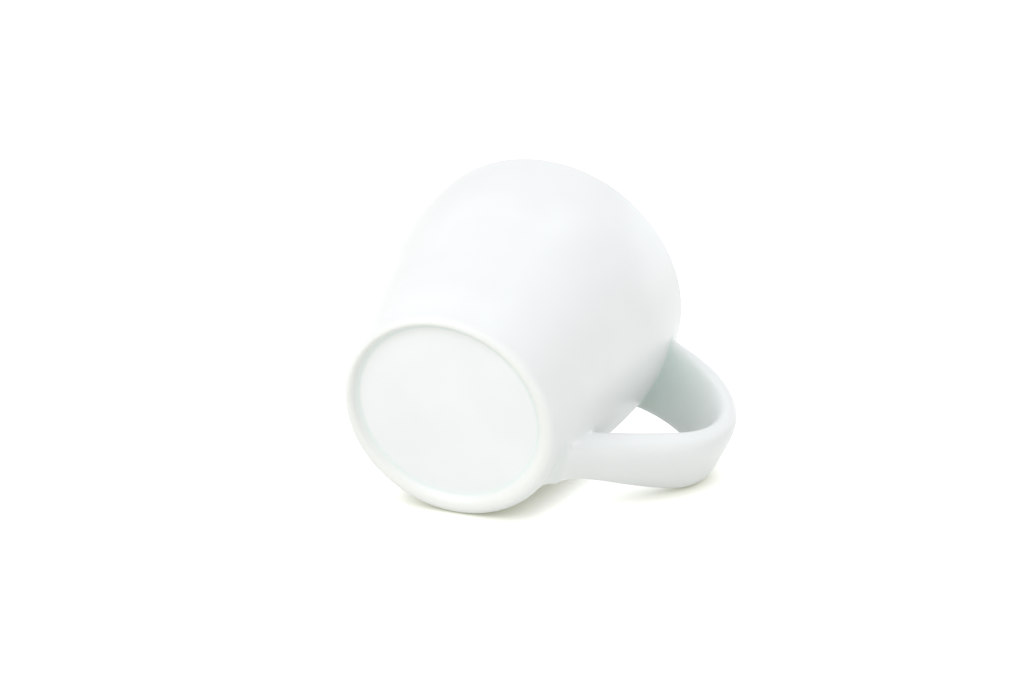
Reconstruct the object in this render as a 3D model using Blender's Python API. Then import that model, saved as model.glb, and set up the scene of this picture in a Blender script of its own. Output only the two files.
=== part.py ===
"""A plain white porcelain shaving mug, standing upright on its foot.

The cup, the foot ring and the strap handle are three separate fired pieces.
Each is held to the cup by its own thin layer of luting slip. Every piece is
modelled about the cup's turning axis, and an empty carries that axis to the
place where the middle of the mug's footprint is over the origin. +Z is up,
and the handle points along +X.
"""

import math

import bmesh
import bpy
import numpy as np

# Overall sizes, in metres.
CUP_HEIGHT = 0.0835
CUP_RADIUS = 0.04425
FOOT_RADIUS = 0.0330

# The wall: a straight cone that runs into one large arc, upright at the widest place.
WALL = 0.0040
FLOOR = 0.0050
WIDEST_BELOW_RIM = 0.0125
SHOULDER_RADIUS = 0.1138
INSIDE_FILLET = 0.0080

# The foot ring, with a rounded outer edge, a flat standing face and a softer inner edge.
FOOT_RING_HEIGHT = 0.0020
FOOT_RING_WIDTH = 0.0050
FOOT_OUTER_ROUND = 0.0024
FOOT_INNER_ROUND = 0.0013

# Luting slip between the pieces. A curved face keeps a gap to its neighbour.
SLIP = 0.0006
FOOT_SLIP = 0.0004
SLIP_MARGIN = 0.0005
GAP = 0.0003

# The handle's middle line leaves the wall at the lower root and comes back at the upper one.
LOWER_ROOT_HEIGHT = 0.0150
UPPER_ROOT_BELOW_RIM = 0.0116
HANDLE_REACH = 0.0258
ROOT_DEPTH = 0.0035
# Points of the bend between the roots: (share of the reach, share of the rise).
BEND = ((0.27, 0.14), (0.73, 0.36), (1.00, 0.56), (0.99, 0.74), (0.67, 0.93), (0.32, 0.99))

# The strap's section at the lower root, halfway along and at the upper root.
STRAP_WIDTHS = (0.0110, 0.0210, 0.0271)
STRAP_THICKNESSES = (0.0094, 0.0081, 0.0044)
# Each root spreads towards the wall over a share of the middle line.
LOWER_FLARE = 0.0034
UPPER_FLARE = 0.0010
FLARE_SHARE = 0.045
# The section is a rounded oblong: 2 would be an ellipse, and a higher power is squarer.
SECTION_POWER = 2.6
# Each slip pad is cut from this share of the strap, at its end of the middle line.
PAD_SHARE = 0.2

# How finely the round shapes are divided.
TURN_STEPS = 72
SECTION_POINTS = 24
STRAP_STATIONS = 36
FEWEST_STATIONS = 4
SHOULDER_STEPS = 9
LIP_STEPS = 6
FILLET_STEPS = 5
FOOT_STEPS = 4
MERGE_DISTANCE = 1e-6
SHARP_ANGLE = math.radians(35)

GLAZE_WHITE = (0.86, 0.89, 0.88)
FOOT_WHITE = (0.87, 0.88, 0.86)
SLIP_WHITE = (0.84, 0.86, 0.85)
GLAZE_ROUGHNESS = 0.3
FOOT_ROUGHNESS = 0.35
SLIP_ROUGHNESS = 0.5

FOOT_HEIGHT = FOOT_RING_HEIGHT + FOOT_SLIP
WIDEST_HEIGHT = CUP_HEIGHT - WIDEST_BELOW_RIM
ARC_CENTRE_R = CUP_RADIUS - SHOULDER_RADIUS


def wall_slope():
    """The angle between the cone and the axis, for a cone tangent to the shoulder's arc."""
    away = FOOT_RADIUS - ARC_CENTRE_R
    rise = WIDEST_HEIGHT - FOOT_HEIGHT
    return math.asin(SHOULDER_RADIUS / math.hypot(away, rise)) - math.atan2(away, rise)


SLOPE = wall_slope()


def cone_radius(height, outward=0.0):
    """Radius at a height of the conical stretch, moved outward along its normal."""
    return FOOT_RADIUS + (height - FOOT_HEIGHT) * math.tan(SLOPE) + outward / math.cos(SLOPE)


def wall_radius(height, outward=0.0):
    """Radius at a height of the wall's outer face, moved outward along its normal."""
    arc = SHOULDER_RADIUS + outward
    if height < WIDEST_HEIGHT - arc * math.sin(SLOPE):
        return cone_radius(height, outward)
    return ARC_CENTRE_R + math.sqrt(arc**2 - (height - WIDEST_HEIGHT) ** 2)


def arc_points(centre, radii, start, end, steps):
    """Points on an arc or ellipse in the (radius, height) plane, both ends included."""
    angles = np.linspace(start, end, steps + 1)
    return [(centre[0] + radii[0] * math.cos(a), centre[1] + radii[1] * math.sin(a)) for a in angles]


def wall_outline(outward, low, high):
    """The wall's outer face between two heights, moved outward, as an outline."""
    arc = SHOULDER_RADIUS + outward
    top = math.asin((high - WIDEST_HEIGHT) / arc)
    shoulder = arc_points((ARC_CENTRE_R, WIDEST_HEIGHT), (arc, arc), -SLOPE, top, SHOULDER_STEPS)
    return [(cone_radius(low, outward), low), *shoulder]


def cup_outline():
    """The cup from the middle of its underside, over the lip, to the middle of its inside floor."""
    lip = WALL / 2
    lip_height = CUP_HEIGHT - lip
    lip_angle = math.asin((lip_height - WIDEST_HEIGHT) / (SHOULDER_RADIUS - lip))
    lip_r = ARC_CENTRE_R + (SHOULDER_RADIUS - lip) * math.cos(lip_angle)
    outer_top = WIDEST_HEIGHT + SHOULDER_RADIUS * math.sin(lip_angle)
    inner_top = WIDEST_HEIGHT + (SHOULDER_RADIUS - WALL) * math.sin(lip_angle)
    floor_top = FOOT_HEIGHT + FLOOR
    fillet_height = floor_top + INSIDE_FILLET
    fillet_r = cone_radius(fillet_height, -WALL - INSIDE_FILLET)
    round_lip = arc_points((lip_r, lip_height), (lip, lip), lip_angle, lip_angle + math.pi, LIP_STEPS)
    inside = wall_outline(-WALL, fillet_height, inner_top)[:0:-1]
    fillet = arc_points(
        (fillet_r, fillet_height), (INSIDE_FILLET, INSIDE_FILLET), -SLOPE, -math.pi / 2, FILLET_STEPS
    )
    outside = wall_outline(0.0, FOOT_HEIGHT, outer_top)
    return [(0.0, FOOT_HEIGHT), *outside, *round_lip[1:-1], *inside, *fillet, (0.0, floor_top)]


def foot_ring_outline():
    """The foot ring's section: a flat seat on top and a narrow flat standing face below."""
    inner = FOOT_RADIUS - FOOT_RING_WIDTH
    outer_edge = arc_points(
        (FOOT_RADIUS - FOOT_OUTER_ROUND, FOOT_RING_HEIGHT),
        (FOOT_OUTER_ROUND, FOOT_RING_HEIGHT),
        0.0,
        -math.pi / 2,
        FOOT_STEPS,
    )
    inner_edge = arc_points(
        (inner + FOOT_INNER_ROUND, FOOT_RING_HEIGHT),
        (FOOT_INNER_ROUND, FOOT_RING_HEIGHT),
        -math.pi / 2,
        -math.pi,
        FOOT_STEPS,
    )
    return outer_edge + inner_edge


def foot_slip_outline():
    """The flat layer of slip between the foot ring and the cup."""
    inner = FOOT_RADIUS - FOOT_RING_WIDTH
    return [
        (inner, FOOT_RING_HEIGHT),
        (FOOT_RADIUS, FOOT_RING_HEIGHT),
        (FOOT_RADIUS, FOOT_HEIGHT),
        (inner, FOOT_HEIGHT),
    ]


def slip_shell_outline():
    """A thin layer that follows the wall a gap away from it, for the handle's two joints."""
    inner_face = wall_outline(GAP, FOOT_HEIGHT, CUP_HEIGHT)
    outer_face = wall_outline(GAP + SLIP, FOOT_HEIGHT, CUP_HEIGHT)
    return outer_face + inner_face[::-1]


def handle_trim_outline():
    """A solid of the cup with its joints, which scribes the handle's roots to the wall."""
    face = wall_outline(GAP + SLIP + GAP, FOOT_HEIGHT, CUP_HEIGHT)
    return [(0.0, FOOT_HEIGHT), *face, (0.0, CUP_HEIGHT)]


def finish_object(name, bm, axis, material=None):
    """Make a named object of a bmesh, on the cup's axis. Without a material it is a cutter."""
    bmesh.ops.recalc_face_normals(bm, faces=bm.faces)
    mesh = bpy.data.meshes.new(name)
    bm.to_mesh(mesh)
    bm.free()
    mesh.shade_smooth()
    mesh.set_sharp_from_angle(angle=SHARP_ANGLE)
    obj = bpy.data.objects.new(name, mesh)
    obj.parent = axis
    bpy.context.scene.collection.objects.link(obj)
    if material:
        mesh.materials.append(material)
    else:
        obj.hide_render = True
        obj.display_type = "WIRE"
    return obj


def turned(name, outline, axis, material=None):
    """Spin an outline of (radius, height) points once round the axis."""
    bm = bmesh.new()
    verts = [bm.verts.new((radius, 0.0, height)) for radius, height in outline]
    for first, second in zip(verts, verts[1:]):
        bm.edges.new((first, second))
    if outline[0][0] > 0:
        bm.edges.new((verts[-1], verts[0]))
    bmesh.ops.spin(
        bm,
        geom=bm.verts[:] + bm.edges[:],
        axis=(0, 0, 1),
        angle=math.tau,
        steps=TURN_STEPS,
        use_merge=True,
    )
    bmesh.ops.remove_doubles(bm, verts=bm.verts, dist=MERGE_DISTANCE)
    return finish_object(name, bm, axis, material)


def through_three(values, share):
    """A smooth value through a lower, a middle and an upper one, at shares 0, 0.5 and 1."""
    low, middle, high = values
    early = low + (middle - low) * share * 2
    late = middle + (high - middle) * (share * 2 - 1)
    return early + (late - early) * share


def root_flare(share):
    """How much the strap spreads on each side, fading away from both roots."""
    lower = LOWER_FLARE * math.exp(-share / FLARE_SHARE)
    upper = UPPER_FLARE * math.exp((share - 1) / FLARE_SHARE)
    return lower + upper


def handle_points():
    """The middle line's own points, as (radius, height), from inside the wall to inside the wall."""
    low = LOWER_ROOT_HEIGHT
    rise = CUP_HEIGHT - UPPER_ROOT_BELOW_RIM - low
    start = (wall_radius(low) - ROOT_DEPTH, low - ROOT_DEPTH)
    bend = [(wall_radius(low + up * rise) + out * HANDLE_REACH, low + up * rise) for out, up in BEND]
    end = (wall_radius(low + rise) - ROOT_DEPTH, low + rise)
    return np.array([start, *bend, end])


def smooth_line(points, shares):
    """A natural cubic spline through the points, parameterised by the length between them."""
    knots = np.concatenate([[0], np.cumsum(np.linalg.norm(np.diff(points, axis=0), axis=1))])
    gaps = np.diff(knots)
    system = np.eye(len(points))
    bends = np.zeros_like(points)
    for i in range(1, len(points) - 1):
        system[i, i - 1 : i + 2] = gaps[i - 1], 2 * (gaps[i - 1] + gaps[i]), gaps[i]
        slopes = (points[i + 1] - points[i]) / gaps[i] - (points[i] - points[i - 1]) / gaps[i - 1]
        bends[i] = 6 * slopes
    bends = np.linalg.solve(system, bends)
    line = []
    for along in np.asarray(shares) * knots[-1]:
        i = min(int(np.searchsorted(knots, along, side="right")) - 1, len(gaps) - 1)
        before, after = (knots[i + 1] - along) / gaps[i], (along - knots[i]) / gaps[i]
        curve = (before**3 - before) * bends[i] + (after**3 - after) * bends[i + 1]
        line.append(before * points[i] + after * points[i + 1] + curve * gaps[i] ** 2 / 6)
    return np.array(line)


def section_points():
    """The strap's section with half sizes 1 by 1, as (through the strap, across it)."""
    power = 2 / SECTION_POWER
    angles = [math.tau * i / SECTION_POINTS for i in range(SECTION_POINTS)]
    ends = [(math.cos(a), math.sin(a)) for a in angles]
    return [(math.copysign(abs(c) ** power, c), math.copysign(abs(s) ** power, s)) for c, s in ends]


def strap(name, axis, material, first=0.0, last=1.0, grow=0.0):
    """Sweep the strap's section along a stretch of the middle line, grown by a margin."""
    stations = max(FEWEST_STATIONS, round(STRAP_STATIONS * (last - first)))
    shares = np.linspace(first, last, stations)
    line = smooth_line(handle_points(), shares)
    tangents = np.gradient(line, axis=0)
    tangents /= np.linalg.norm(tangents, axis=1)[:, None]
    section = section_points()
    bm = bmesh.new()
    ring = bmesh.ops.create_circle(bm, segments=SECTION_POINTS, radius=FOOT_RADIUS)["verts"]
    edges = bm.edges[:]
    for share, middle, tangent in zip(shares, line, tangents):
        flare = root_flare(share)
        thick = (through_three(STRAP_THICKNESSES, share) + flare) / 2 + grow
        wide = through_three(STRAP_WIDTHS, share) / 2 + flare + grow
        if share > first:
            new = bmesh.ops.extrude_edge_only(bm, edges=edges)["geom"]
            ring = [part for part in new if isinstance(part, bmesh.types.BMVert)]
            edges = [part for part in new if isinstance(part, bmesh.types.BMEdge)]
        for vert, (through, across) in zip(ring, section, strict=True):
            radius = middle[0] + tangent[1] * through * thick
            height = middle[1] - tangent[0] * through * thick
            vert.co = (radius, across * wide, height)
    bmesh.ops.holes_fill(bm, edges=bm.edges)
    return finish_object(name, bm, axis, material)


def boolean(obj, operation, other):
    modifier = obj.modifiers.new(operation.title(), "BOOLEAN")
    modifier.operation = operation
    modifier.object = other
    modifier.solver = "EXACT"


def ceramic(name, colour, roughness):
    material = bpy.data.materials.new(name)
    material.use_nodes = True
    shader = material.node_tree.nodes["Principled BSDF"]
    shader.inputs["Base Color"].default_value = (*colour, 1.0)
    shader.inputs["Roughness"].default_value = roughness
    shader.inputs["Metallic"].default_value = 0.0
    return material


def footprint_axis():
    """An empty on the cup's axis, placed so that the mug's bounding box is centred over the origin."""
    line = smooth_line(handle_points(), np.linspace(0, 1, STRAP_STATIONS))
    furthest = int(np.argmax(line[:, 0]))
    share = furthest / (STRAP_STATIONS - 1)
    reach = line[furthest, 0] + through_three(STRAP_THICKNESSES, share) / 2
    axis = bpy.data.objects.new("cup_axis", None)
    axis.location.x = (CUP_RADIUS - reach) / 2
    bpy.context.scene.collection.objects.link(axis)
    return axis


def make_cup(axis):
    turned("cup_body", cup_outline(), axis, ceramic("glazed_porcelain", GLAZE_WHITE, GLAZE_ROUGHNESS))


def make_foot(axis):
    turned("foot_ring", foot_ring_outline(), axis, ceramic("foot_porcelain", FOOT_WHITE, FOOT_ROUGHNESS))
    turned("foot_slip_joint", foot_slip_outline(), axis, ceramic("foot_slip", SLIP_WHITE, SLIP_ROUGHNESS))


def make_handle(axis):
    handle = strap("handle", axis, ceramic("handle_porcelain", GLAZE_WHITE, GLAZE_ROUGHNESS))
    boolean(handle, "DIFFERENCE", turned("handle_trim", handle_trim_outline(), axis))


def make_handle_joints(axis):
    """Pads of slip, a little wider than the roots, between the wall and the handle."""
    shell = turned("slip_shell", slip_shell_outline(), axis)
    ends = (("lower_slip_joint", 0.0, PAD_SHARE), ("upper_slip_joint", 1.0 - PAD_SHARE, 1.0))
    for name, first, last in ends:
        pad = strap(name, axis, ceramic(name, SLIP_WHITE, SLIP_ROUGHNESS), first, last, SLIP_MARGIN)
        boolean(pad, "INTERSECT", shell)


def main():
    for old in list(bpy.data.objects):
        bpy.data.objects.remove(old, do_unlink=True)
    axis = footprint_axis()
    make_cup(axis)
    make_foot(axis)
    make_handle(axis)
    make_handle_joints(axis)


main()
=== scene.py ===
"""The looks of a white porcelain shaving mug, lying on its side on a pale table.

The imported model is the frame. Each operator below makes one glazed piece around it, and the last
one makes the table, the lamps and the camera.
"""

import math

import bmesh
import bpy
import numpy as np
from bpy.props import FloatProperty, FloatVectorProperty, IntProperty, PointerProperty
from bpy.types import Operator, Panel, PropertyGroup
from mathutils import Matrix, Vector


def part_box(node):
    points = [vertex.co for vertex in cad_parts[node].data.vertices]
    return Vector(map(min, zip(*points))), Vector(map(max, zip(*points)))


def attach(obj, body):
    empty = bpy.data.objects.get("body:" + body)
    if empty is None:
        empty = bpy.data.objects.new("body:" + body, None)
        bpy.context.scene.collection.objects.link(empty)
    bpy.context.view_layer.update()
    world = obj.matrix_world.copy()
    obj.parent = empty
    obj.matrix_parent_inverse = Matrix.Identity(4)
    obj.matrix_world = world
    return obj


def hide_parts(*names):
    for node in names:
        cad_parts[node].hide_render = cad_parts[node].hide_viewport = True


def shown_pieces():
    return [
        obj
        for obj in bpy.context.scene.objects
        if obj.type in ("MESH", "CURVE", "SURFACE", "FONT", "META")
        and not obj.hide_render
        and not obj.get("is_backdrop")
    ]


bl_info = {
    "name": "Shaving Mug",
    "version": (1, 0, 0),
    "blender": (4, 5, 0),
    "location": "View3D > Sidebar > Shaving Mug",
    "description": "Glazed porcelain pieces, table and lamps for a shaving mug",
    "category": "Add Mesh",
}

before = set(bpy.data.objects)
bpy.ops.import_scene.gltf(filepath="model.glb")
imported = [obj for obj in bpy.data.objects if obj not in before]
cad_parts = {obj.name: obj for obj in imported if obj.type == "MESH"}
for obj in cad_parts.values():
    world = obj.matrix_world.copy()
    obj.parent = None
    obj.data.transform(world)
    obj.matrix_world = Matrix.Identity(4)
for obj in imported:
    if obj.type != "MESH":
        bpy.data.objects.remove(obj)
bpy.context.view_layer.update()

CUP_LOW, CUP_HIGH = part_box("cup_body")
FOOT_LOW, FOOT_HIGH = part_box("foot_ring")
AXIS_X = (CUP_LOW.x + CUP_HIGH.x) / 2
CUP_RADIUS = (CUP_HIGH.y - CUP_LOW.y) / 2
FOOT_RADIUS = (FOOT_HIGH.y - FOOT_LOW.y) / 2
RIM_HEIGHT = CUP_HIGH.z
UNDERSIDE = CUP_LOW.z
BODY = "root"
# How far a feathered edge dips under the surface that it runs out on.
HAIR = 6e-6
# Points nearer than this become one, and edges that turn more than this stay sharp.
MERGE_DISTANCE = 1e-7
SHARP_ANGLE = math.radians(40)
# Steps along the cone and the shoulder, round the lip and the foot's edges, and in the fillets.
CONE_STEPS = 36
SHOULDER_STEPS = 48
ROUND_STEPS = 20
FILLET_STEPS = 14
SLIP_STEPS = 24
FLOOR_RINGS = 7
# Rings of points on the underside and its edge, as parts of the foot's radius.
UNDERSIDE_PARTS = (0, 0.25, 0.5, 0.7, 0.81, 0.90)
UNDERSIDE_EDGE = 0.93
# How far the foot ring runs up into the cup, and how far in from the wall it does so.
RING_UP, RING_IN = 0.0002, 0.0004
# How far the corner's slip runs up into the cup, out into the ring, and up from its lowest edge.
SLIP_UP, SLIP_OUT, SLIP_RISE = 0.0003, 0.0006, 0.0005


def length(name, description, default):
    """A length property in metres."""
    return FloatProperty(name=name, description=description, default=default, unit="LENGTH", precision=5)


def angle(name, description, degrees):
    return FloatProperty(name=name, description=description, default=math.radians(degrees), subtype="ANGLE")


def colour(name, description, default):
    return FloatVectorProperty(
        name=name, description=description, default=default, subtype="COLOR", min=0.0, max=1.0
    )


def share(name, description, default):
    return FloatProperty(
        name=name, description=description, default=default, subtype="FACTOR", min=0.0, max=1.0
    )


def power(name, description, default):
    return FloatProperty(name=name, description=description, default=default, unit="POWER", min=0.0)


class CupShape(PropertyGroup):
    """The turned cup."""

    wall: length("Wall", "Thickness of the wall", 0.0040)
    floor: length("Floor", "Thickness of the floor", 0.0050)
    widest_below_rim: length("Widest below rim", "Depth below the rim of the widest place", 0.0125)
    shoulder_radius: length("Shoulder radius", "Radius of the arc that the wall ends in", 0.1138)
    inside_fillet: length("Inside fillet", "Radius between wall and floor inside", 0.0080)
    underside_depth: length("Underside depth", "How deep the underside lies inside the foot ring", 0.0025)
    waist: length("Waist", "How far the wall draws in above the foot", 0.00025)
    waist_height: length("Waist height", "Height of the waist's middle", 0.0065)
    waist_spread: length("Waist spread", "How far the waist runs up and down the wall", 0.0030)
    turn_steps: IntProperty(name="Turn steps", description="Faces round the cup", default=256, min=32)


class FootShape(PropertyGroup):
    """The ring that the mug stands on."""

    width: length("Width", "Width of the ring", 0.0044)
    outer_round: length("Outer round", "Width of the rounded outer edge", 0.0023)
    inner_round: length("Inner round", "Width of the rounded inner edge", 0.0021)
    slip_height: length("Slip height", "Height at which the corner's slip leaves the ring", 0.0011)
    slip_reach: length("Slip reach", "How far the corner's slip runs in over the underside", 0.0013)
    off_centre: length("Off centre", "How far the inner edge is off centre, away from the handle", 0.0013)
    off_aside: length("Off aside", "How far the inner edge is off centre to one side", 0.0006)


class HandleShape(PropertyGroup):
    """The strap handle and its roots."""

    lower_root: length("Lower root", "Height of the lower root above the table", 0.0150)
    upper_root: length("Upper root", "Depth of the upper root below the rim", 0.0116)
    reach: length("Reach", "How far the middle line stands out from the wall", 0.0258)
    width_low: length("Width low", "Width at the lower root", 0.0110)
    width_middle: length("Width middle", "Width halfway along", 0.0210)
    width_high: length("Width high", "Width at the upper root", 0.0271)
    thick_low: length("Thickness low", "Thickness at the lower root", 0.0094)
    thick_middle: length("Thickness middle", "Thickness halfway along", 0.0081)
    thick_high: length("Thickness high", "Thickness at the upper root", 0.0044)
    lower_flare: length("Lower flare", "How far the lower root spreads", 0.0030)
    upper_flare: length("Upper flare", "How far the upper root spreads", 0.0010)
    lean: length("Lean", "How far the handle stands to one side, away from its lower root", 0.0009)
    lower_fillet: length("Lower fillet", "Size of the slip fillet at the lower root", 0.0034)
    upper_fillet: length("Upper fillet", "Size of the slip fillet at the upper root", 0.0017)
    squareness: FloatProperty(
        name="Squareness", description="Power of the strap's rounded-oblong section", default=3.3, min=2.0
    )


class GlazeLook(PropertyGroup):
    """The clear glaze over white porcelain."""

    body: colour("Body", "Colour of the glazed porcelain", (0.868, 0.886, 0.889))
    # Pooled colour: an aqua tint of thick glaze, and painted shade in the corners, in the creases and on
    # the strap's inner face.
    pooled_and_shaded: colour("Pooled", "Colour where the glaze runs thick in a corner", (0.70, 0.80, 0.765))
    thin: colour("Thin", "Colour where the glaze draws thin over an edge", (0.84, 0.845, 0.815))
    speck: colour("Speck", "Colour of the small iron specks", (0.50, 0.51, 0.47))
    roughness: share("Roughness", "Roughness of the glaze", 0.33)
    mottle: share("Mottle", "How much the tone drifts over the surface", 0.03)


class StageLook(PropertyGroup):
    """The table, the lamps and the camera."""

    rest_turn: angle("Rest turn", "How far round from the handle the mug lies on its wall", 63.107)
    view_height: angle("View height", "Angle of the view above the table", 19.36)
    view_turn: angle("View turn", "Angle of the view from the mug's axis", 21.54)
    view_distance: length("View distance", "Distance from the camera to the aim", 0.849)
    aim: FloatVectorProperty(
        name="Aim",
        description="Point that the camera looks at, from the middle of the cup's foot",
        default=(0.0020, -0.0036, 0.0431),
        subtype="TRANSLATION",
    )
    lens: FloatProperty(name="Lens", description="Focal length in millimetres", default=100.0)
    ambient: FloatProperty(name="Ambient", description="Strength of the light from all round", default=0.79)
    table_lift: FloatProperty(
        name="Table lift", description="White added to the table where it is seen", default=0.83
    )
    table_glow: FloatProperty(
        name="Table glow", description="Light that the card gives off towards the mug", default=0.15
    )
    # Painted contact shadow: within this height of the mug the table's added white is held off.
    shadow_reach: length(
        "Contact reach", "Height under which the mug keeps that white off the table", 0.0095
    )
    lamp_distance: length("Lamp distance", "Distance from the mug to each lamp", 1.15)
    key: power("Key", "The large lamp in front, up on the left", 4.05)
    front: power("Front", "The lamp above the camera", 1.05)
    back: power("Back", "The low lamp behind, on the right", 2.3)
    overhead: power("Overhead", "The cool lamp overhead", 0.42)


def settings():
    scene = bpy.context.scene
    return scene.mug_cup, scene.mug_foot, scene.mug_handle, scene.mug_glaze, scene.mug_stage


# Outlines -----------------------------------------------------------------------------------


def wall_facts(cup):
    """The slope of the cone, the height of the widest place and the radius of the arc's centre."""
    widest = RIM_HEIGHT - cup.widest_below_rim
    centre_r = CUP_RADIUS - cup.shoulder_radius
    away, rise = FOOT_RADIUS - centre_r, widest - UNDERSIDE
    slope = math.asin(cup.shoulder_radius / math.hypot(away, rise)) - math.atan2(away, rise)
    return slope, widest, centre_r


def cone_radius(cup, height, outward=0.0):
    slope, _, _ = wall_facts(cup)
    return FOOT_RADIUS + (height - UNDERSIDE) * math.tan(slope) + outward / math.cos(slope)


def wall_radius(cup, height):
    """Radius of the wall's outer face at a height, or at an array of heights."""
    slope, widest, centre_r = wall_facts(cup)
    height = np.asarray(height, float)
    cone = FOOT_RADIUS + (height - UNDERSIDE) * math.tan(slope)
    arc = centre_r + np.sqrt(np.maximum(cup.shoulder_radius**2 - (height - widest) ** 2, 0))
    waist = cup.waist * np.exp(-(((height - cup.waist_height) / cup.waist_spread) ** 2))
    return np.where(height < widest - cup.shoulder_radius * math.sin(slope), cone, arc) - waist


def arc_points(centre, radii, start, end, steps):
    """Points on an arc or ellipse in the (radius, height) plane, both ends included."""
    angles = np.linspace(start, end, steps + 1)
    return [(centre[0] + radii[0] * math.cos(a), centre[1] + radii[1] * math.sin(a)) for a in angles]


def wall_outline(cup, outward, low, top_angle):
    """The cone and shoulder moved outward, from a height up to an angle on the shoulder's arc."""
    slope, widest, centre_r = wall_facts(cup)
    arc = cup.shoulder_radius + outward
    shoulder = arc_points((centre_r, widest), (arc, arc), -slope, top_angle, SHOULDER_STEPS)
    foot = (cone_radius(cup, low, outward), low)
    parts = np.linspace(0, 1, CONE_STEPS, endpoint=False)
    cone = [tuple(np.add(foot, np.subtract(shoulder[0], foot) * part)) for part in parts]
    return cone + shoulder


def cup_outline(cup):
    """The cup from the middle of its underside, over the lip, to the middle of its inside floor."""
    slope, widest, centre_r = wall_facts(cup)
    lip = cup.wall / 2
    lip_height = RIM_HEIGHT - lip
    lip_angle = math.asin((lip_height - widest) / (cup.shoulder_radius - lip))
    lip_r = centre_r + (cup.shoulder_radius - lip) * math.cos(lip_angle)
    floor_top = UNDERSIDE + cup.floor
    fillet_height = floor_top + cup.inside_fillet
    fillet_r = cone_radius(cup, fillet_height, -cup.wall - cup.inside_fillet)
    underside = [(part * FOOT_RADIUS, cup.underside_depth) for part in UNDERSIDE_PARTS]
    underside.append((UNDERSIDE_EDGE * FOOT_RADIUS, UNDERSIDE))
    outside_heights = [height for _, height in wall_outline(cup, 0.0, UNDERSIDE, lip_angle)]
    outside = list(zip(wall_radius(cup, outside_heights), outside_heights))
    round_lip = arc_points((lip_r, lip_height), (lip, lip), lip_angle, lip_angle + math.pi, ROUND_STEPS)
    inside = wall_outline(cup, -cup.wall, fillet_height, lip_angle)[:0:-1]
    rounds = (cup.inside_fillet, cup.inside_fillet)
    fillet = arc_points((fillet_r, fillet_height), rounds, -slope, -math.pi / 2, FILLET_STEPS)
    floor = [(r, floor_top) for r in np.linspace(fillet_r, 0, FLOOR_RINGS)[1:]]
    return [*underside, *outside, *round_lip[1:-1], *inside, *fillet, *floor]


def bezier(points, steps):
    """A cubic Bezier curve as a list of (radius, height) points."""
    start, leave, arrive, end = (np.array(point, float) for point in points)
    curve = []
    for t in np.linspace(0, 1, steps + 1):
        back = 1 - t
        curve.append(back**3 * start + 3 * back * t * (back * leave + t * arrive) + t**3 * end)
    return [tuple(point) for point in curve]


def foot_outline(cup, foot):
    """The ring from the wall down round its outer edge, and up round its inner edge."""
    slope, _, _ = wall_facts(cup)
    crest = FOOT_RADIUS - foot.outer_round
    pull = 0.55
    outer = bezier(
        (
            (FOOT_RADIUS, UNDERSIDE),
            (FOOT_RADIUS - pull * UNDERSIDE * math.sin(slope), UNDERSIDE * (1 - pull)),
            (crest + pull * foot.outer_round, 0),
            (crest, 0),
        ),
        ROUND_STEPS,
    )
    centre = (FOOT_RADIUS - foot.width + foot.inner_round, cup.underside_depth)
    radii = (foot.inner_round, cup.underside_depth)
    return outer + arc_points(centre, radii, -math.pi / 2, -math.pi, ROUND_STEPS)


def slip_start(cup, foot):
    """Where the corner's slip leaves the ring's inner edge, and the direction it leaves in."""
    drop = 1 - foot.slip_height / cup.underside_depth
    across = math.sqrt(1 - drop**2)
    centre = FOOT_RADIUS - foot.width + foot.inner_round
    start = np.array([centre - foot.inner_round * across, foot.slip_height])
    leaving = np.array([-foot.inner_round * drop, cup.underside_depth * across])
    return start, leaving


def ease(t):
    """A step from 0 to 1 whose slope and bend are both 0 at its ends."""
    return t * t * t * (t * (6 * t - 15) + 10)


def fillet_rows(start, corner, end, steps):
    """A soft fillet: it leaves start towards the corner and comes to end from the corner."""
    rows = []
    for t in np.linspace(0, 1, steps + 1):
        leaving = start + (corner - start) * t
        arriving = corner + (end - corner) * t
        rows.append(leaving + (arriving - leaving) * ease(t))
    return rows


# Meshes -------------------------------------------------------------------------------------


def finish_piece(name, bm, material, slot, *nodes):
    """Close a bmesh into a shaded piece that rides on the mug, and hide the CAD nodes that it stands in
    for.
    """
    bmesh.ops.remove_doubles(bm, verts=bm.verts, dist=MERGE_DISTANCE)
    bmesh.ops.recalc_face_normals(bm, faces=bm.faces)
    mesh = bpy.data.meshes.new(name)
    bm.to_mesh(mesh)
    bm.free()
    mesh.shade_smooth()
    mesh.set_sharp_from_angle(angle=SHARP_ANGLE)
    mesh.materials.append(material)
    piece = bpy.data.objects.new(name, mesh)
    bpy.context.scene.collection.objects.link(piece)
    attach(piece, BODY)
    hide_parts(*nodes)
    return piece


def glaze_layers(bm):
    """The two vertex values that the glaze reads: how much pooled glaze and painted shade lie there, and
    how thin the glaze draws.
    """
    return bm.verts.layers.float.new("pool"), bm.verts.layers.float.new("thin")


def shift_inside(bm, foot):
    """Move the foot's inner edge off centre, fading out towards its outer edge."""
    for vert in bm.verts:
        radius = math.hypot(vert.co.x - AXIS_X, vert.co.y)
        inward = min(max((FOOT_RADIUS - radius) / foot.width, 0), 1)
        vert.co -= Vector((foot.off_centre, foot.off_aside, 0)) * inward


def turned(outline, tone, steps):
    """Spin an outline of (radius, height) points; tone gives the glaze's (pooled glaze and painted shade,
    thin) at each.
    """
    bm = bmesh.new()
    pool, thin = glaze_layers(bm)
    verts = []
    for radius, height in outline:
        vert = bm.verts.new((AXIS_X + radius, 0.0, height))
        vert[pool], vert[thin] = tone(radius, height)
        verts.append(vert)
    for first, second in zip(verts, verts[1:]):
        bm.edges.new((first, second))
    if outline[0][0] > 0:
        bm.edges.new((verts[-1], verts[0]))
    bmesh.ops.spin(
        bm,
        geom=bm.verts[:] + bm.edges[:],
        cent=(AXIS_X, 0, 0),
        axis=(0, 0, 1),
        angle=math.tau,
        steps=steps,
        use_merge=True,
    )
    return bm


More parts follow.
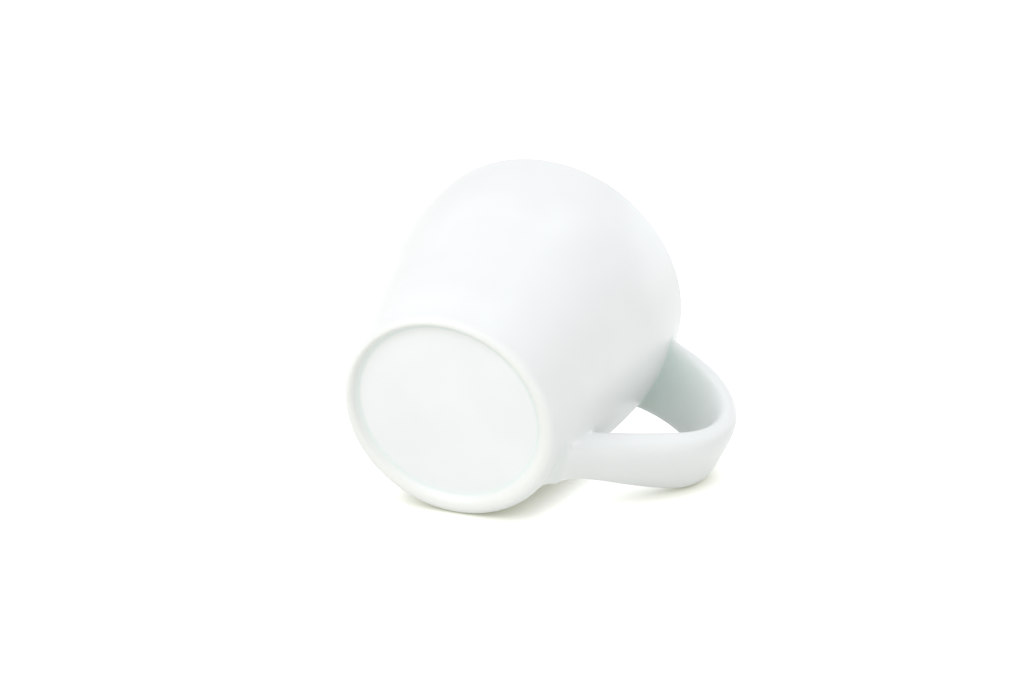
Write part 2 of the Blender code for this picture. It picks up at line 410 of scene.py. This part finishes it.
def lofted(rows, pool_shades, closed):
    """Extrude a ring of points through rows of points. Closed joins the last row to the first."""
    bm = bmesh.new()
    pool, _ = glaze_layers(bm)
    ring = bmesh.ops.create_circle(bm, segments=len(rows[0]), radius=FOOT_RADIUS)["verts"]
    first_edges = edges = bm.edges[:]
    for index, (row, pool_shade_row) in enumerate(zip(rows, pool_shades)):
        if index:
            new = bmesh.ops.extrude_edge_only(bm, edges=edges)["geom"]
            ring = [part for part in new if isinstance(part, bmesh.types.BMVert)]
            edges = [part for part in new if isinstance(part, bmesh.types.BMEdge)]
        for vert, point, value in zip(ring, row, pool_shade_row):
            vert.co = point
            vert[pool] = value
    if closed:
        bmesh.ops.bridge_loops(bm, edges=[*first_edges, *edges])
    else:
        bmesh.ops.holes_fill(bm, edges=bm.edges)
    return bm


# The handle's surface -----------------------------------------------------------------------

# The strap's middle line between its roots: (share of the reach, share of the rise).
BEND = ((0.27, 0.14), (0.73, 0.36), (1.00, 0.56), (0.99, 0.74), (0.67, 0.93), (0.32, 0.99))
# How deep in the wall that line begins and ends, and the shares of it that the flares at the roots
# and the swing to one side are spread over.
ROOT_DEPTH = 0.0035
FLARE_SHARE = 0.045
LEAN_SHARE = 0.3
# Points round the strap's section, and how far in from the roots its lines are carried on.
SECTION_POINTS = 72
RUN_IN = (0.0048, 0.0002)
RUN_IN_STATIONS = 24
# The part of each line that the handle's piece covers, and its rows.
HANDLE_ENDS = (0.002, 0.998)
HANDLE_ROWS = 180
# Pooled glaze with painted shade on the strap's inner face: how strong at the upper and the lower root,
# and over what share of the strap it thins out. It paints the shade in the corner between the wall and the
# upper arm.
UPPER_POOL_SHADE, UPPER_SHADE_SHARE = 1.3, 0.20
LOWER_POOL_SHADE, LOWER_SHADE_SHARE = 0.1, 0.06


def smooth_line(points, shares):
    """A natural cubic spline through the points, parameterised by the length between them."""
    knots = np.concatenate([[0], np.cumsum(np.linalg.norm(np.diff(points, axis=0), axis=1))])
    gaps = np.diff(knots)
    system = np.eye(len(points))
    bends = np.zeros_like(points)
    for i in range(1, len(points) - 1):
        system[i, i - 1 : i + 2] = gaps[i - 1], 2 * (gaps[i - 1] + gaps[i]), gaps[i]
        slopes = (points[i + 1] - points[i]) / gaps[i] - (points[i] - points[i - 1]) / gaps[i - 1]
        bends[i] = 6 * slopes
    bends = np.linalg.solve(system, bends)
    line = []
    for along in np.asarray(shares) * knots[-1]:
        i = min(int(np.searchsorted(knots, along, side="right")) - 1, len(gaps) - 1)
        before, after = (knots[i + 1] - along) / gaps[i], (along - knots[i]) / gaps[i]
        curve = (before**3 - before) * bends[i] + (after**3 - after) * bends[i + 1]
        line.append(before * points[i] + after * points[i + 1] + curve * gaps[i] ** 2 / 6)
    return np.array(line)


def handle_line(cup, handle, shares):
    """The strap's middle line as (radius, height), from inside the wall to inside the wall."""
    low = handle.lower_root
    rise = RIM_HEIGHT - handle.upper_root - low
    points = [(wall_radius(cup, low) - ROOT_DEPTH, low - ROOT_DEPTH)]
    for out, up in BEND:
        points.append((wall_radius(cup, low + up * rise) + out * handle.reach, low + up * rise))
    points.append((wall_radius(cup, low + rise) - ROOT_DEPTH, low + rise))
    return smooth_line(np.array(points, float), shares)


def through_three(low, middle, high, part):
    """A smooth value through a lower, a middle and an upper one, at shares 0, 0.5 and 1."""
    early = low + (middle - low) * part * 2
    late = middle + (high - middle) * (part * 2 - 1)
    return early + (late - early) * part


def strap_rails(cup, handle, stations=360, points=SECTION_POINTS):
    """Lines along the strap's surface, as an array of (station, point round the section, xyz)."""
    shares = np.linspace(0, 1, stations)
    line = handle_line(cup, handle, shares)
    tangents = np.gradient(line, axis=0)
    tangents /= np.linalg.norm(tangents, axis=1)[:, None]
    lower = handle.lower_flare * np.exp(-shares / FLARE_SHARE)
    upper = handle.upper_flare * np.exp((shares - 1) / FLARE_SHARE)
    flare = lower + upper
    wide = through_three(handle.width_low, handle.width_middle, handle.width_high, shares) / 2 + flare
    thick = through_three(handle.thick_low, handle.thick_middle, handle.thick_high, shares) / 2 + flare / 2
    turn = np.linspace(0, math.tau, points, endpoint=False)
    power = 2 / handle.squareness
    through = np.sign(np.cos(turn)) * np.abs(np.cos(turn)) ** power
    across = np.sign(np.sin(turn)) * np.abs(np.sin(turn)) ** power
    depth = thick[:, None] * through
    x = line[:, :1] + tangents[:, 1:] * depth
    z = line[:, 1:] - tangents[:, :1] * depth
    swing = np.clip(shares / LEAN_SHARE, 0, 1)
    aside = handle.lean * swing**2 * (3 - 2 * swing)
    strap = np.stack([x, aside[:, None] + wide[:, None] * across, z], axis=2)
    inward = np.zeros((RUN_IN_STATIONS, 1, 3))
    inward[:, 0, 0] = np.linspace(*RUN_IN, RUN_IN_STATIONS)
    return np.concatenate([strap[:1] - inward, strap, strap[-1:] - inward[::-1]])


def cut_rail(cup, rail):
    """The stretch of a rail that lies outside the wall, with its ends on the wall."""
    clear = np.hypot(rail[:, 0], rail[:, 1]) - wall_radius(cup, rail[:, 2])
    middle = len(rail) // 2
    first = max(i for i in range(middle) if clear[i] <= 0)
    last = min(i for i in range(middle, len(rail)) if clear[i] <= 0)
    start = rail[first] + (rail[first + 1] - rail[first]) * clear[first] / (clear[first] - clear[first + 1])
    end = rail[last] + (rail[last - 1] - rail[last]) * clear[last] / (clear[last] - clear[last - 1])
    return np.concatenate([[start], rail[first + 1 : last], [end]])


def walk(rail, distances):
    """Points at the given distances along a rail."""
    steps = np.concatenate([[0], np.cumsum(np.linalg.norm(np.diff(rail, axis=0), axis=1))])
    return np.stack([np.interp(distances, steps, rail[:, axis]) for axis in range(3)], axis=1)


def rail_length(rail):
    return float(np.linalg.norm(np.diff(rail, axis=0), axis=1).sum())


def unit(vectors):
    return vectors / np.linalg.norm(vectors, axis=-1, keepdims=True)


def wall_normals(cup, points):
    """The wall's outward directions at points on it."""
    step = 1e-5
    heights = points[..., 2]
    slopes = (wall_radius(cup, heights + step) - wall_radius(cup, heights - step)) / (2 * step)
    radii = np.hypot(points[..., 0], points[..., 1])
    return unit(np.stack([points[..., 0] / radii, points[..., 1] / radii, -slopes], axis=-1))


def onto_wall(cup, points, inward=0.0):
    """Points moved along their radius to the wall, or inward of it."""
    scale = (wall_radius(cup, points[..., 2]) - inward) / np.hypot(points[..., 0], points[..., 1])
    return points * np.stack([scale, scale, np.ones_like(scale)], axis=-1)


def root_rows(cup, rails, size, steps=26):
    """Rows of the fillet round a root. Each rail starts on the wall and runs out along the strap.

    The fillet follows the strap at first and the wall at last, and passes smoothly from one to the
    other. Both ends dip a hair under the surface that they follow, so that no edge shows.
    """
    corners = np.array([rail[0] for rail in rails])
    turn = np.linspace(0, 1, steps + 1)
    on_strap = np.array([walk(rail, size * (1 - turn)) for rail in rails])
    around = np.roll(corners, -1, axis=0) - np.roll(corners, 1, axis=0)
    outward = unit(np.cross(around, wall_normals(cup, corners)))
    outward *= np.sign(((corners - corners.mean(axis=0)) * outward).sum())
    on_wall = onto_wall(cup, corners[:, None] + outward[:, None] * (size * turn)[None, :, None])
    across = np.roll(on_strap, -1, axis=0) - np.roll(on_strap, 1, axis=0)
    strap_normals = unit(np.cross(across, np.gradient(on_strap, axis=1)))
    strap_normals *= np.sign(((on_strap - on_strap.mean(axis=0)) * strap_normals).sum())
    blend = ease(turn)[None, :, None]
    normals = strap_normals * (1 - blend) + wall_normals(cup, on_wall) * blend
    dip = HAIR * -np.cos(math.tau * turn)[None, :, None]
    columns = on_strap * (1 - blend) + on_wall * blend + normals * dip
    bury = 0.0004
    under_end = onto_wall(cup, on_wall[:, -1], bury)
    under_root = onto_wall(cup, corners - outward * bury, bury)
    in_strap = on_strap[:, 0] - strap_normals[:, 0] * bury
    rows = [*columns.transpose(1, 0, 2), under_end, under_root, in_strap]
    return np.array(rows)


def strap_pool_shade(shares, points=SECTION_POINTS):
    """Pooled glaze and painted shade along the strap: both lie on the inner face, strongest towards the
    roots, where shade falls between the strap and the wall.
    """
    inside = np.clip(-np.cos(np.linspace(0, math.tau, points, endpoint=False)), 0, 1)
    shares = np.asarray(shares)
    upper = UPPER_POOL_SHADE * np.exp((shares - 1) / UPPER_SHADE_SHARE)
    lower = LOWER_POOL_SHADE * np.exp(-shares / LOWER_SHADE_SHARE)
    return (upper + lower)[:, None] * inside


def placed(rows):
    """Rows about the cup's axis, moved to where the axis stands."""
    return np.asarray(rows) + np.array([AXIS_X, 0.0, 0.0])


# Materials ----------------------------------------------------------------------------------


WHITE = (1.0, 1.0, 1.0)
# Pooled glaze and painted shade in each root fillet: the share of the strap that it takes over from, and
# how much gathers.
FILLET_POOL_SHADE = {"lower": (0.04, 0.12), "upper": (0.98, 0.6)}
# Where most of it gathers, as a part of the fillet from strap to wall, and how far it spreads.
FILLET_SHADE_AT, FILLET_SHADE_SPREAD = 0.45, 0.2
# Glaze at the foot: (how much, how far out from the corner or the edge, how far it spreads). In the corner
# the pooled colour is an aqua tint of thick glaze and also painted shade in the crease.
CORNER_POOL_SHADE = (0.6, -0.0002, 0.0006)
EDGE_THIN = (0.8, 0.0012, 0.0016)
FOOT_TONE_HEIGHT = 0.0015
# Glaze over the lip: how thin it draws, and how far that spreads down and across.
LIP_THIN, LIP_DOWN, LIP_ACROSS = 0.5, 0.0007, 0.003
# Scales of the drift in the glaze's tone, its fine ripple, and the cells that its specks lie in.
DRIFT_SCALE, RIPPLE_SCALE, CELL_SCALE = 38.0, 420.0, 58.0
# Size of a speck's core and of its soft edge, and the share of the cells that have no speck.
SPECK_CORE, SPECK_EDGE = 0.008, 0.016
BARE_CELLS = (0.93, 0.935)
# How smooth and how rough the drift makes the glaze, as parts of its roughness.
SMOOTHEST, ROUGHEST = 0.9, 1.15
# How strong the waves and the ripples are, and how deep in metres.
WAVES, WAVE_DEPTH = 0.25, 0.0006
RIPPLES, RIPPLE_DEPTH = 0.05, 0.0001
GLAZE_IOR = 1.5


def add_node(tree, kind, inputs=None, **attributes):
    """Add a node, set its attributes, and set or link its inputs."""
    node = tree.nodes.new(kind)
    for name, value in attributes.items():
        setattr(node, name, value)
    for name, value in (inputs or {}).items():
        if isinstance(value, bpy.types.NodeSocket):
            tree.links.new(value, node.inputs[name])
        else:
            node.inputs[name].default_value = value
    return node


def mix_colours(tree, factor, first, second):
    """The socket of a mix of two colours, each a socket or a plain colour."""
    node = add_node(tree, "ShaderNodeMix", data_type="RGBA")
    for index, value in ((0, factor), (6, first), (7, second)):
        if isinstance(value, bpy.types.NodeSocket):
            tree.links.new(value, node.inputs[index])
        elif index:
            node.inputs[index].default_value = (*value, 1.0)
        else:
            node.inputs[index].default_value = value
    return node.outputs[2]


def map_range(tree, value, low, high, to_low=0.0, to_high=1.0):
    node = add_node(
        tree,
        "ShaderNodeMapRange",
        {"Value": value, "From Min": low, "From Max": high, "To Min": to_low, "To Max": to_high},
        interpolation_type="SMOOTHSTEP",
    )
    return node.outputs["Result"]


def porcelain(name, look):
    """Clear glaze over white porcelain. It reads two vertex values, one for pooled glaze with painted shade
    and one for thin glaze. The pooled colour is an aqua tint of thick glaze that also paints shade.
    """
    material = bpy.data.materials.new(name)
    material.use_nodes = True
    tree = material.node_tree
    shader = tree.nodes["Principled BSDF"]
    place = add_node(tree, "ShaderNodeTexCoord").outputs["Object"]
    pool = add_node(tree, "ShaderNodeAttribute", attribute_name="pool").outputs["Fac"]
    thin = add_node(tree, "ShaderNodeAttribute", attribute_name="thin").outputs["Fac"]
    drift = add_node(tree, "ShaderNodeTexNoise", {"Vector": place, "Scale": DRIFT_SCALE, "Detail": 2.0})
    fine = add_node(tree, "ShaderNodeTexNoise", {"Vector": place, "Scale": RIPPLE_SCALE, "Detail": 3.0})
    spread = {"Vector": place, "Scale": CELL_SCALE, "Randomness": 1.0}
    cells = add_node(tree, "ShaderNodeTexVoronoi", spread)
    darker = [channel * (1 - look.mottle) for channel in look.body]
    base = mix_colours(tree, map_range(tree, drift.outputs["Fac"], 0.3, 0.7), look.body, darker)
    # Painted shade: the pooled colour darkens the corners, the creases and the strap's inner face, over the
    # aqua tint of thick glaze.
    base = mix_colours(tree, pool, base, look.pooled_and_shaded)
    base = mix_colours(tree, thin, base, look.thin)
    chosen = add_node(tree, "ShaderNodeSeparateColor", {"Color": cells.outputs["Color"]}).outputs["Red"]
    dot = map_range(tree, cells.outputs["Distance"], SPECK_CORE, SPECK_EDGE, 1.0, 0.0)
    rare = map_range(tree, chosen, *BARE_CELLS)
    speck = add_node(tree, "ShaderNodeMath", operation="MULTIPLY")
    tree.links.new(dot, speck.inputs[0])
    tree.links.new(rare, speck.inputs[1])
    base = mix_colours(tree, speck.outputs[0], base, look.speck)
    tree.links.new(base, shader.inputs["Base Color"])
    smooth, rough = look.roughness * SMOOTHEST, look.roughness * ROUGHEST
    gloss = map_range(tree, drift.outputs["Fac"], 0.25, 0.75, smooth, rough)
    tree.links.new(gloss, shader.inputs["Roughness"])
    waves = add_node(tree, "ShaderNodeBump", {"Height": drift.outputs["Fac"], "Strength": WAVES})
    waves.inputs["Distance"].default_value = WAVE_DEPTH
    ripple = add_node(tree, "ShaderNodeBump", {"Height": fine.outputs["Fac"], "Strength": RIPPLES})
    ripple.inputs["Distance"].default_value = RIPPLE_DEPTH
    tree.links.new(waves.outputs["Normal"], ripple.inputs["Normal"])
    tree.links.new(ripple.outputs["Normal"], shader.inputs["Normal"])
    shader.inputs["IOR"].default_value = GLAZE_IOR
    return material


# Operators ----------------------------------------------------------------------------------


def bump(value, middle, spread):
    """A soft bell of height 1 at the middle."""
    return math.exp(-(((value - middle) / spread) ** 2))


def band(radius, edge, tone):
    """A soft band of one of the foot's tones, round the ring at a distance out from an edge."""
    amount, outward, spread = tone
    return amount * bump(radius, edge + outward, spread)


def foot_tone(cup, foot):
    """How the glaze lies on and near the foot, as a function of radius and height: pooled glaze with
    painted shade in the inner corner, and thin glaze over the inner edge.
    """
    start, leaving = slip_start(cup, foot)
    corner = start + leaving * (cup.underside_depth - start[1]) / leaving[1]

    def tone(radius, height):
        if height > UNDERSIDE + FOOT_TONE_HEIGHT:
            return 0.0, 0.0
        # Pooled glaze and painted shade in the inner corner; thin glaze over the inner edge.
        return band(radius, corner[0], CORNER_POOL_SHADE), band(radius, start[0], EDGE_THIN)

    return tone


class MESH_OT_mug_cup(Operator):
    """Turn the glazed cup, wall and floor in one"""

    bl_idname = "mesh.mug_cup"
    bl_label = "Cup"

    def execute(self, context):
        cup, foot, _, look, _ = settings()
        lip_r = float(wall_radius(cup, RIM_HEIGHT)) - cup.wall / 2
        base_tone = foot_tone(cup, foot)

        def tone(radius, height):
            pool, thin = base_tone(radius, height)
            lip = bump(height, RIM_HEIGHT, LIP_DOWN) * bump(radius, lip_r, LIP_ACROSS)
            return pool, max(thin, lip * LIP_THIN)

        bm = turned(cup_outline(cup), tone, cup.turn_steps)
        glaze = porcelain("cup_glaze", look)
        finish_piece("glazed_cup", bm, glaze, "glazed_porcelain", "cup_body")
        return {"FINISHED"}


class MESH_OT_mug_foot_ring(Operator):
    """Turn the foot ring with its rounded edges"""

    bl_idname = "mesh.mug_foot_ring"
    bl_label = "Foot ring"

    def execute(self, context):
        cup, foot, _, look, _ = settings()
        outline = foot_outline(cup, foot)
        inner, top = FOOT_RADIUS - foot.width, UNDERSIDE + RING_UP
        outline += [(inner, top), (FOOT_RADIUS - RING_IN, top)]
        bm = turned(outline, foot_tone(cup, foot), cup.turn_steps)
        shift_inside(bm, foot)
        glaze = porcelain("foot_glaze", look)
        finish_piece("glazed_foot_ring", bm, glaze, "foot_porcelain", "foot_ring")
        return {"FINISHED"}


class MESH_OT_mug_foot_corner(Operator):
    """Turn the slip and glaze that fill the corner inside the foot ring"""

    bl_idname = "mesh.mug_foot_corner"
    bl_label = "Foot corner"

    def execute(self, context):
        cup, foot, _, look, _ = settings()
        start, leaving = slip_start(cup, foot)
        underside = cup.underside_depth
        corner = start + leaving * (underside + HAIR - start[1]) / leaving[1]
        end = corner - (foot.slip_reach, 0)
        rows = [tuple(row) for row in fillet_rows(start, corner, end, SLIP_STEPS)]
        buried, outermost = underside + SLIP_UP, start[0] + SLIP_OUT
        outline = [*rows, (end[0], buried), (outermost, buried), (outermost, start[1] + SLIP_RISE)]
        bm = turned(outline, foot_tone(cup, foot), cup.turn_steps)
        shift_inside(bm, foot)
        glaze = porcelain("corner_glaze", look)
        finish_piece("foot_corner_slip", bm, glaze, "fired_slip", "foot_slip_joint")
        return {"FINISHED"}


class MESH_OT_mug_handle(Operator):
    """Sweep the strap handle from root to root"""

    bl_idname = "mesh.mug_handle"
    bl_label = "Handle"

    def execute(self, context):
        cup, _, handle, look, _ = settings()
        shares = np.linspace(*HANDLE_ENDS, HANDLE_ROWS)
        columns = []
        for column in strap_rails(cup, handle).transpose(1, 0, 2):
            rail = cut_rail(cup, column)
            columns.append(walk(rail, shares * rail_length(rail)))
        rows = placed(np.array(columns).transpose(1, 0, 2))
        # Painted shade on the strap's inner face towards the roots, with the aqua tint of pooled glaze.
        bm = lofted(rows, strap_pool_shade(shares), closed=False)
        glaze = porcelain("handle_glaze", look)
        finish_piece("glazed_handle", bm, glaze, "handle_porcelain", "handle")
        return {"FINISHED"}


class MESH_OT_mug_root_fillets(Operator):
    """Loft the fillets of slip round the handle's two roots"""

    bl_idname = "mesh.mug_root_fillets"
    bl_label = "Root fillets"

    def execute(self, context):
        cup, _, handle, look, _ = settings()
        rails = [cut_rail(cup, column) for column in strap_rails(cup, handle).transpose(1, 0, 2)]
        roots = (
            ("lower", handle.lower_fillet, rails),
            ("upper", handle.upper_fillet, [rail[::-1] for rail in rails]),
        )
        for name, size, ends in roots:
            taken_from, pooled_shade = FILLET_POOL_SHADE[name]
            rows = placed(root_rows(cup, ends, size))
            along = np.linspace(0, 1, len(rows))[:, None]
            # Painted shade: the pooled colour gathers in the fillet's corner between strap and wall, with
            # the aqua tint of thick glaze.
            shade_heap = np.exp(-(((along - FILLET_SHADE_AT) / FILLET_SHADE_SPREAD) ** 2))
            pool_shades = strap_pool_shade([taken_from]) * (1 - ease(along)) + pooled_shade * shade_heap
            bm = lofted(rows, pool_shades, closed=True)
            glaze = porcelain(name + "_fillet_glaze", look)
            finish_piece(name + "_root_fillet", bm, glaze, "fired_slip", name + "_slip_joint")
        return {"FINISHED"}


def resting_frame(cup, stage):
    """The table's upward normal, and the direction of the mug's axis along the table.

    The mug rests on its widest place and on a point of the foot's edge just below the wall.
    """
    foot_drop = 0.0002
    heights = np.linspace(UNDERSIDE, RIM_HEIGHT, 400)
    leans = (wall_radius(cup, heights[1:]) - FOOT_RADIUS) / (heights[1:] - UNDERSIDE + foot_drop)
    lean = math.atan(float(leans.max()))
    around = Vector((math.cos(stage.rest_turn), math.sin(stage.rest_turn), 0))
    up = Vector((0, 0, 1)) * math.sin(lean) - around * math.cos(lean)
    along = (Vector((0, 0, 1)) - up * up.z).normalized()
    return up, along


# Where each lamp stands: degrees round from the camera to the right, degrees up, size in metres, tint.
LAMPS = {
    "key": (-45, 38, 0.8, WHITE),
    "front": (0, 38, 0.8, WHITE),
    "back": (135, 8, 0.8, (0.95, 0.98, 1.0)),
    "overhead": (129, 64, 0.35, (0.80, 0.90, 1.0)),
}


def make_lamps(stage, up, heading, aim):
    """Large soft lamps on a circle round the mug."""
    right = heading.cross(up)
    for name, (around, above, size, tint) in LAMPS.items():
        around, above = math.radians(around), math.radians(above)
        level = right * math.sin(around) - heading * math.cos(around)
        direction = level * math.cos(above) + up * math.sin(above)
        data = bpy.data.lights.new(name, "AREA")
        data.shape = "DISK"
        data.size = size
        data.energy = getattr(stage, name)
        data.color = tint
        lamp = bpy.data.objects.new(name, data)
        lamp.location = aim + direction * stage.lamp_distance
        lamp.rotation_mode = "QUATERNION"
        lamp.rotation_quaternion = direction.to_track_quat("Z", "Y")
        bpy.context.scene.collection.objects.link(lamp)


def shown_white(tree):
    """1 for rays that see the background straight, in a mirror or through glass."""
    path = add_node(tree, "ShaderNodeLightPath")
    seen = add_node(tree, "ShaderNodeMath", operation="MAXIMUM")
    tree.links.new(path.outputs["Is Camera Ray"], seen.inputs[0])
    tree.links.new(path.outputs["Is Glossy Ray"], seen.inputs[1])
    through = add_node(tree, "ShaderNodeMath", operation="MAXIMUM")
    tree.links.new(seen.outputs[0], through.inputs[0])
    tree.links.new(path.outputs["Is Transmission Ray"], through.inputs[1])
    return through.outputs[0]


def make_world(stage):
    world = bpy.data.worlds.new("white_room")
    bpy.context.scene.world = world
    world.use_nodes = True
    tree = world.node_tree
    strength = map_range(tree, shown_white(tree), 0.0, 1.0, stage.ambient, 1.0)
    background = tree.nodes["Background"]
    background.inputs["Color"].default_value = (*WHITE, 1.0)
    tree.links.new(strength, background.inputs["Strength"])


CARD_COLOUR = (0.645, 0.655, 0.62, 1.0)
# Painted contact shadow: the colour that is left of the table's added white where the mug touches it.
CONTACT_SHADOW_TINT = (0.08, 0.09, 0.0)
SHADOW_SAMPLES = 16
TABLE_REACH = 3.0
SENSOR_WIDTH = 36.0


def table_material(stage):
    """White card, lifted to the background's white except near the mug, where an occlusion mask paints a
    contact shadow into the lift, and clear from below. It also glows a little towards the mug.
    """
    material = bpy.data.materials.new("white_card")
    material.use_nodes = True
    tree = material.node_tree
    tree.nodes.remove(tree.nodes["Principled BSDF"])
    seen = shown_white(tree)
    card = add_node(tree, "ShaderNodeBsdfDiffuse", {"Color": CARD_COLOUR})
    # Painted shadow: the mug's occlusion within the reach holds off the added white and leaves a warm
    # painted contact shadow.
    reach = {"Distance": stage.shadow_reach}
    shadow_mask = add_node(tree, "ShaderNodeAmbientOcclusion", reach, samples=SHADOW_SAMPLES)
    painted_shadow = mix_colours(tree, shadow_mask.outputs["AO"], CONTACT_SHADOW_TINT, WHITE)
    lift = add_node(tree, "ShaderNodeEmission", {"Color": mix_colours(tree, seen, WHITE, painted_shadow)})
    strength = map_range(tree, seen, 0.0, 1.0, stage.table_glow, stage.table_lift)
    tree.links.new(strength, lift.inputs["Strength"])
    lit = add_node(tree, "ShaderNodeAddShader")
    tree.links.new(card.outputs[0], lit.inputs[0])
    tree.links.new(lift.outputs[0], lit.inputs[1])
    clear = add_node(tree, "ShaderNodeBsdfTransparent")
    side = add_node(tree, "ShaderNodeMixShader")
    tree.links.new(add_node(tree, "ShaderNodeNewGeometry").outputs["Backfacing"], side.inputs[0])
    tree.links.new(lit.outputs[0], side.inputs[1])
    tree.links.new(clear.outputs[0], side.inputs[2])
    tree.links.new(side.outputs[0], tree.nodes["Material Output"].inputs["Surface"])
    return material


def lowest_point(up):
    """How far the mug reaches down along the table's normal."""
    lows = []
    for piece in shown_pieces():
        if piece.type != "MESH":
            continue
        points = np.empty(len(piece.data.vertices) * 3, np.float32)
        piece.data.vertices.foreach_get("co", points)
        lows.append(float((points.reshape(-1, 3) @ np.array(up)).min()))
    return min(lows)


def make_table(stage, up, aim):
    """A wide sheet that the mug lies on."""
    low = lowest_point(up)
    bm = bmesh.new()
    bmesh.ops.create_grid(bm, x_segments=1, y_segments=1, size=TABLE_REACH)
    middle = aim + up * (low - aim.dot(up))
    turn = up.to_track_quat("Z", "Y").to_matrix().to_4x4()
    bmesh.ops.transform(bm, matrix=Matrix.Translation(middle) @ turn, verts=bm.verts)
    mesh = bpy.data.meshes.new("table")
    bm.to_mesh(mesh)
    bm.free()
    mesh.materials.append(table_material(stage))
    table = bpy.data.objects.new("table", mesh)
    bpy.context.scene.collection.objects.link(table)
    table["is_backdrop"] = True


def make_camera(stage, up, along, aim):
    """The camera, level with the table, a little above it and off the mug's axis."""
    side = up.cross(along)
    heading = along * math.cos(stage.view_turn) + side * math.sin(stage.view_turn)
    forward = heading * math.cos(stage.view_height) - up * math.sin(stage.view_height)
    right = forward.cross(up).normalized()
    data = bpy.data.cameras.new("camera")
    data.lens = stage.lens
    data.sensor_width = SENSOR_WIDTH
    camera = bpy.data.objects.new("camera", data)
    turn = Matrix((right, right.cross(forward), -forward)).transposed()
    camera.matrix_world = Matrix.Translation(aim - forward * stage.view_distance) @ turn.to_4x4()
    bpy.context.scene.collection.objects.link(camera)
    bpy.context.scene.camera = camera
    return heading


class SCENE_OT_mug_stage(Operator):
    """Lay the white table, and set the camera and the lamps"""

    bl_idname = "scene.mug_stage"
    bl_label = "Table, lamps and camera"

    def execute(self, context):
        cup, _, _, _, stage = settings()
        up, along = resting_frame(cup, stage)
        aim = Vector((AXIS_X, 0, 0)) + Vector(stage.aim)
        make_table(stage, up, aim)
        heading = make_camera(stage, up, along, aim)
        make_world(stage)
        make_lamps(stage, up, heading, aim)
        context.scene.view_settings.view_transform = "Standard"
        return {"FINISHED"}


class VIEW3D_PT_mug(Panel):
    """Buttons for the mug's pieces and their sizes"""

    bl_idname = "VIEW3D_PT_mug"
    bl_label = "Shaving Mug"
    bl_space_type = "VIEW_3D"
    bl_region_type = "UI"
    bl_category = "Shaving Mug"

    def draw(self, context):
        for step in STEPS:
            self.layout.operator(step.bl_idname)
        for name in SETTINGS:
            group = getattr(context.scene, name)
            box = self.layout.box()
            for prop in group.__annotations__:
                box.prop(group, prop)


STEPS = (
    MESH_OT_mug_cup,
    MESH_OT_mug_foot_ring,
    MESH_OT_mug_foot_corner,
    MESH_OT_mug_handle,
    MESH_OT_mug_root_fillets,
    SCENE_OT_mug_stage,
)
SETTINGS = {
    "mug_cup": CupShape,
    "mug_foot": FootShape,
    "mug_handle": HandleShape,
    "mug_glaze": GlazeLook,
    "mug_stage": StageLook,
}
CLASSES = (*SETTINGS.values(), *STEPS, VIEW3D_PT_mug)


def register():
    for cls in CLASSES:
        bpy.utils.register_class(cls)
    for name, group in SETTINGS.items():
        setattr(bpy.types.Scene, name, PointerProperty(type=group))


def unregister():
    for name in SETTINGS:
        delattr(bpy.types.Scene, name)
    for cls in reversed(CLASSES):
        bpy.utils.unregister_class(cls)


def main():
    register()
    bpy.ops.mesh.mug_cup()
    bpy.ops.mesh.mug_foot_ring()
    bpy.ops.mesh.mug_foot_corner()
    bpy.ops.mesh.mug_handle()
    bpy.ops.mesh.mug_root_fillets()
    bpy.ops.scene.mug_stage()


if __name__ == "__main__":
    main()
